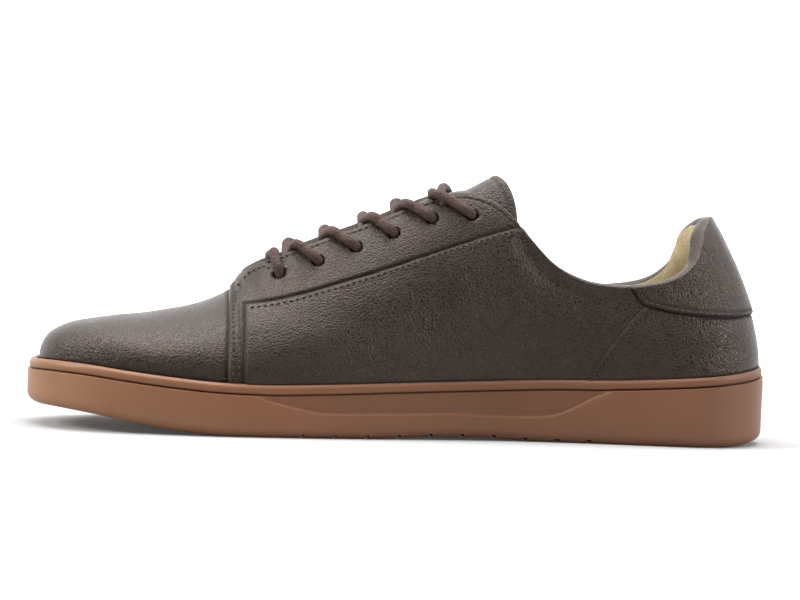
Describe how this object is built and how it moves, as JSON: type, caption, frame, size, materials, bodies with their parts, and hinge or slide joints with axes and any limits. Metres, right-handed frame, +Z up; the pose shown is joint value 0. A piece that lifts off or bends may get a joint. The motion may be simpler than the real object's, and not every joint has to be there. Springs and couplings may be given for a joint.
{
  "type": "barefoot shoe",
  "caption": "Low lace-up barefoot shoe in dark brown leather with a foot-shaped toe box, thin flexible cup sole in gum rubber, derby flaps, heel tab and beige lining.",
  "frame": {"origin": "middle of the bounding box in plan, on the floor under the sole", "axes": "toe towards -X, heel towards +X, inner (medial) side towards -Y, +Z up"},
  "size_m": [0.289, 0.1074, 0.102],
  "materials": {
    "brown_leather": "dark brown tumbled leather with a soft sheen",
    "gum_rubber": "matt gum rubber",
    "beige_lining": "beige textile lining",
    "brown_lace": "round waxed cord, brown"
  },
  "bodies": {
    "root": {"outsole": "gum_rubber", "insole": "beige_lining", "upper": "brown_leather", "tongue": "brown_leather", "eyestay_inner": "brown_leather", "eyestay_outer": "brown_leather", "quarter_inner": "brown_leather", "quarter_outer": "brown_leather", "heel_counter": "brown_leather", "heel_tab": "brown_leather", "lace_bar": "brown_lace", "lace_cross_1": "brown_lace", "lace_cross_2": "brown_lace", "lace_cross_3": "brown_lace", "lace_cross_4": "brown_lace", "lace_cross_5": "brown_lace"}
  },
  "joints": []
}
